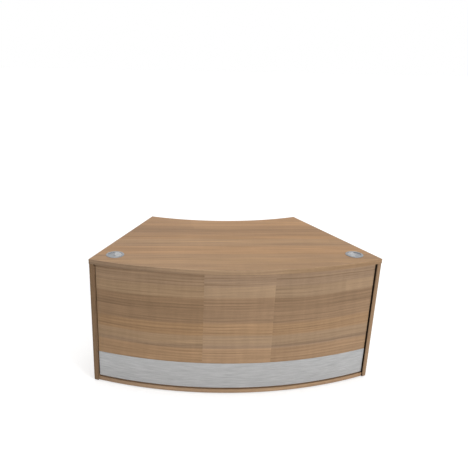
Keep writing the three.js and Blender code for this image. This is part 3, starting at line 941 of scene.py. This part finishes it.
# Base: where the board and its edgings are cut from the sheet, and the edgings' tone
BASE_CUT = (0.66, 0.4)
BASE_EDGING_CUT = (0.9, 0.33)
BASE_EDGING_TONE = 1.19
BASE_EDGING_WARMTH = 0.95
BASE_EDGING_FADE = (
    (0.03, (0.92, 0.93, 0.97, 1.0)),
    (0.2, (1.09, 1.13, 1.2, 1.0)),
    (0.45, (1.03, 1.04, 1.04, 1.0)),
    (0.66, (1.12, 1.15, 1.14, 1.0)),
    (0.9, (0.91, 0.89, 0.87, 1.0)),
)


def add_base():
    board = arc_mesh("base_panel", BOARD_ROUND, nowhere, GLUE_CLOSED)
    sheet = decor("base_decor", level_arc_lay, BASE_CUT)
    piece = new_piece("base_board", board, sheet, "carcass", "walnut_board", "base_panel")
    bores = []
    for name in SIDES:
        for place in ("front", "rear"):
            cam = f"{name}_{place}_base_cam"
            low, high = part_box(cam)
            radius = (high.x - low.x) / 2 + GLUE_LINE
            reach = (low.z - GLUE_LINE, high.z + CUT_SPARE)
            bores.append(rod(radius, *reach, upright_axis(cam), SMALL_SEGMENTS))
    combine(piece, bores, "DIFFERENCE")

    for place, pick in (("front", max), ("rear", min)):
        node = f"base_{place}_edging"
        radius = pick(polar(point)[0] for point in node_points(node))
        strip = arc_mesh(node, EDGING_ROUND, near_radius(radius))
        sheet = decor(
            f"{node}_decor",
            front_lay,
            BASE_EDGING_CUT,
            BASE_EDGING_TONE,
            warmth=BASE_EDGING_WARMTH,
            fade=BASE_EDGING_FADE,
        )
        new_piece(f"{node}_strip", strip, sheet, "carcass", "walnut_edging", node)


# Bowed front: where each panel is cut along the sheet, its tone and its warmth
FRONT_CUTS = {
    "left": (0.37, 0.89, 1.04),
    "centre": (10.65, 0.993, 0.96),
    "right": (7.27, 0.865, 0.97),
}
# How far the sheet is moved down to have its upper edge under the worktop
SHEET_DROP = sheet_width(PLAIN_STAVES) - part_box("worktop")[0].z


def add_front():
    for name, (length, tone, warmth) in FRONT_CUTS.items():
        node = f"front_panel_{name}"
        low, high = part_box(node)
        panel = arc_mesh(node, BOARD_ROUND, near_levels(low.z, high.z), grow_ends=SEAM_CLOSED)
        sheet = decor(f"{node}_decor", front_lay, (length, SHEET_DROP), tone, warmth=warmth)
        new_piece(f"{node}_board", panel, sheet, "carcass", "walnut_board", node)
    sheet = arc_mesh("kick_plate", SHEET_ROUND, everywhere)
    new_piece("kick_plate_sheet", sheet, ALUMINIUM, "carcass", "brushed_aluminium", "kick_plate")


# Battens
def add_battens():
    battens = {f"{level}_batten": (RAIL_TIMBER, "batten_timber") for level in ("top", "base")}
    for name in SIDES:
        battens[f"{name}_joint_batten"] = (POST_TIMBER, "batten_timber")
        battens[f"{name}_end_batten"] = (DARK_TIMBER, "dark_batten")
    for node, (material, slot) in battens.items():
        bar = arc_mesh(node, BATTEN_ROUND, everywhere)
        new_piece(f"{node}_bar", bar, material, "carcass", slot, node)


# Cable grommets
def add_sleeve(name):
    node = f"{name}_grommet_sleeve"
    rings = rings_of(node)
    low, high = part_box(node)
    flange = max(radius for radius, _ in rings)
    body = max(radius for radius, height in rings if height < low.z + GLUE_LINE)
    bore = min(radius for radius, _ in rings)
    mouth = min(radius for radius, height in rings if height > high.z - GLUE_LINE)
    seat = min(height for radius, height in rings if radius > flange - GLUE_LINE)
    ledge = min(height for radius, height in rings if abs(radius - mouth) < GLUE_LINE)
    lip = seat + FLANGE_LIP
    crest = mouth + FLANGE_CREST
    profile = [(bore, low.z), (body, low.z), (body, seat), (flange, seat)]
    profile += quarter(flange, lip, crest - flange, high.z - lip, FLANGE_STEPS)
    profile += [(mouth + LID_ROUND, high.z), (mouth, high.z - LID_ROUND)]
    profile += [(mouth, ledge), (bore, ledge)]
    shape = turned(profile, upright_axis(node))
    new_piece(f"{node}_ring", shape, SILVER, "carcass", "silver_plastic", node)


def add_lid(name, turn):
    node = f"{name}_grommet_lid"
    rings = rings_of(node)
    low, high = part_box(node)
    outer = max(radius for radius, _ in rings)
    recess = min(radius for radius, height in rings if height > high.z - GLUE_LINE)
    floor = max(height for radius, height in rings if radius < recess - GLUE_LINE)
    profile = [(0, low.z), (outer - LID_ROUND, low.z), (outer, low.z + LID_ROUND)]
    profile += [(outer, high.z - LID_ROUND), (outer - LID_ROUND, high.z)]
    profile += [(recess + LID_ROUND, high.z), (recess, high.z - LID_ROUND)]
    profile += [(recess, floor), (0, floor)]
    placed = upright_axis(node) @ turn
    shape = turned(profile, placed)
    body = f"{name}_lid"
    piece = new_piece(f"{node}_cap", shape, SILVER, body, "silver_plastic", node)
    reach = (low.z - CUT_SPARE, floor + CUT_SPARE)
    slot = ring_sector(SLOT_INNER_RADIUS, SLOT_OUTER_RADIUS, SLOT_ANGLE, *reach, placed)
    pin_hole = rod(PIN_RADIUS + PIN_CLEARANCE, *reach, placed, SMALL_SEGMENTS)
    combine(piece, [slot, pin_hole], "DIFFERENCE")


def add_shutter(name, turn):
    node = f"{name}_grommet_shutter"
    axis = upright_axis(f"{name}_grommet_lid")
    points = [axis.inverted() @ point for point in node_points(node)]
    reach = max(math.hypot(point.x, point.y) for point in points)
    rim = [point.z for point in points if math.hypot(point.x, point.y) > reach - GLUE_LINE]
    low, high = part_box(node)
    placed = axis @ turn
    plate = half_disc(reach, min(rim), max(rim), placed)
    round_edges(plate, SHUTTER_ROUND, lambda point: point.z > max(rim) - GLUE_LINE)
    piece = new_piece(f"{node}_flap", plate, PALE_SILVER, f"{name}_shutter", "silver_plastic", node)
    hub_top = max(rim) + HUB_RISE
    profile = [(0, min(rim)), (HUB_RADIUS, min(rim)), (HUB_RADIUS, hub_top - HUB_RISE)]
    profile += [(HUB_RADIUS - HUB_RISE, hub_top), (0, hub_top)]
    hub = turned(profile, placed, SMALL_SEGMENTS)
    pin = rod(PIN_RADIUS, low.z, max(rim), placed, SMALL_SEGMENTS)
    inner = GRIP_RADIUS - GRIP_WIDTH / 2
    outer = GRIP_RADIUS + GRIP_WIDTH / 2
    middle = (min(rim) + max(rim)) / 2
    grip = ring_sector(inner, outer, GRIP_ANGLE, middle, high.z, placed, GRIP_SEGMENTS)
    round_edges(grip, SHUTTER_ROUND, lambda point: point.z > high.z - GLUE_LINE)
    combine(piece, [hub, pin, grip], "UNION")


def add_grommets():
    for name, side in SIDES.items():
        axis = upright_axis(f"{name}_grommet_lid").translation
        low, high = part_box(f"{name}_grommet_shutter")
        way = (low + high) / 2 - axis
        turn = Matrix.Rotation(math.atan2(way.y, way.x), 4, "Z")
        add_sleeve(name)
        add_lid(name, turn)
        add_shutter(name, turn)


# Levelling feet
def add_foot(node):
    rings = rings_of(node)
    low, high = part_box(node)
    outer = max(radius for radius, _ in rings)
    top = max(height for radius, height in rings if radius > outer - GLUE_LINE)
    placed = upright_axis(node)
    profile = [(0, low.z)] + quarter(outer, low.z + PAD_ROUND, -PAD_ROUND, -PAD_ROUND)[::-1]
    profile += quarter(outer, top - PAD_ROUND, -PAD_ROUND, PAD_ROUND)
    profile += [(0, top)]
    pad = turned(profile, placed, SMALL_SEGMENTS)
    new_piece(f"{node}_pad", pad, BLACK, node, "black_plastic", node)
    thread = [(0, top), (STEM_RADIUS - THREAD_DEPTH, top)]
    for turn in range(int((high.z - top) / THREAD_PITCH)):
        root = top + turn * THREAD_PITCH
        thread.append((STEM_RADIUS, root + THREAD_PITCH / 2))
        thread.append((STEM_RADIUS - THREAD_DEPTH, root + THREAD_PITCH))
    thread.append((0, thread[-1][1]))
    stem = turned(thread, placed, SMALL_SEGMENTS)
    new_piece(f"{node}_stem", stem, ZINC, node, "zinc_fitting")


# Fittings that keep their CAD shape
def dress_fittings():
    dressed = {"cam": ZINC, "bolt": ZINC, "insert": BLACK}
    for name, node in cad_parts.items():
        kind = name.rsplit("_", 1)[-1]
        if kind in dressed:
            node.data.materials.clear()
            node.data.materials.append(dressed[kind])
            weld = node.modifiers.new("weld", "WELD")
            weld.merge_threshold = FITTING_WELD
            bevel = node.modifiers.new("bevel", "BEVEL")
            bevel.width = FITTING_ROUND
            bevel.segments = FITTING_STEPS


# Stage, light and camera
def seen_directly(tree):
    """A socket that is 1 on rays from the camera and on reflected and refracted ones, else 0."""
    path = tree.nodes.new("ShaderNodeLightPath")
    seen = path.outputs["Is Camera Ray"]
    for kind in ("Is Glossy Ray", "Is Transmission Ray"):
        either = tree.nodes.new("ShaderNodeMath")
        either.operation = "MAXIMUM"
        tree.links.new(seen, either.inputs[0])
        tree.links.new(path.outputs[kind], either.inputs[1])
        seen = either.outputs[0]
    return seen


def add_floor():
    bm = bmesh.new()
    bmesh.ops.create_grid(bm, x_segments=1, y_segments=1, size=FLOOR_REACH)
    floor = new_object("floor", bm)
    nodes = Nodes("pale_floor")
    nodes.shade("Base Color", FLOOR_COLOUR)
    nodes.shade("Roughness", FLOOR_ROUGHNESS)
    nodes.shade("Specular IOR Level", FLOOR_SHEEN)
    nodes.shade("Emission Color", WHITE)
    nodes.shade("Emission Strength", nodes.product(seen_directly(nodes.tree), FLOOR_GLOW))
    floor.data.materials.append(nodes.material)


def add_world():
    world = bpy.data.worlds.new("studio")
    bpy.context.scene.world = world
    world.use_nodes = True
    tree = world.node_tree
    soft = tree.nodes["Background"]
    soft.inputs["Color"].default_value = WHITE
    soft.inputs["Strength"].default_value = WORLD_LIGHT
    white = tree.nodes.new("ShaderNodeBackground")
    white.inputs["Color"].default_value = WHITE
    choose = tree.nodes.new("ShaderNodeMixShader")
    tree.links.new(seen_directly(tree), choose.inputs["Fac"])
    tree.links.new(soft.outputs[0], choose.inputs[1])
    tree.links.new(white.outputs[0], choose.inputs[2])
    tree.links.new(choose.outputs[0], tree.nodes["World Output"].inputs["Surface"])


def add_sun(name, energy, azimuth, height, spread, glossy=True):
    """A soft sun at an azimuth to the right of the front and a height over the floor."""
    light = bpy.data.lights.new(name, "SUN")
    light.energy = energy
    light.angle = spread
    lamp = bpy.data.objects.new(name, light)
    lamp.visible_glossy = glossy
    bpy.context.scene.collection.objects.link(lamp)
    level = math.cos(height)
    source = Vector((level * math.sin(azimuth), -level * math.cos(azimuth), math.sin(height)))
    lamp.rotation_mode = "QUATERNION"
    lamp.rotation_quaternion = source.to_track_quat("Z", "Y")


def add_camera():
    data = bpy.data.cameras.new("camera")
    data.sensor_fit = "HORIZONTAL"
    data.sensor_width = SENSOR
    data.lens = FOCAL_PIXELS / PICTURE * SENSOR
    data.shift_x = (PICTURE / 2 - AXIS_PIXEL_X) / PICTURE
    data.clip_end = VIEW_REACH
    level = math.cos(CAMERA_PITCH)
    drop = math.sin(CAMERA_PITCH)
    forward = Vector((math.sin(CAMERA_YAW) * level, math.cos(CAMERA_YAW) * level, -drop))
    across = Vector((math.cos(CAMERA_YAW), -math.sin(CAMERA_YAW), 0))
    upright = across.cross(forward)
    right = across * math.cos(CAMERA_ROLL) + upright * math.sin(CAMERA_ROLL)
    up = upright * math.cos(CAMERA_ROLL) - across * math.sin(CAMERA_ROLL)
    turn = Matrix((right, up, -forward)).transposed()
    camera = bpy.data.objects.new("camera", data)
    camera.matrix_world = Matrix.Translation(CAMERA_PLACE) @ turn.to_4x4()
    bpy.context.scene.collection.objects.link(camera)
    bpy.context.scene.camera = camera


add_camera()
add_world()
add_floor()
add_sun("key", KEY_LIGHT, KEY_AZIMUTH, KEY_HEIGHT, KEY_SPREAD, glossy=False)
add_sun("back", BACK_LIGHT, BACK_AZIMUTH, BACK_HEIGHT, BACK_SPREAD, glossy=False)
add_sun("top", TOP_LIGHT, TOP_AZIMUTH, TOP_HEIGHT, TOP_SPREAD)
add_worktop()
add_base()
add_front()
add_battens()
add_grommets()
for end_name, end_side in SIDES.items():
    add_end_panel(end_name, end_side)
    for foot_place in ("front", "rear", "base"):
        add_foot(f"{end_name}_{foot_place}_foot")
dress_fittings()
bpy.context.scene.view_settings.view_transform = "Standard"
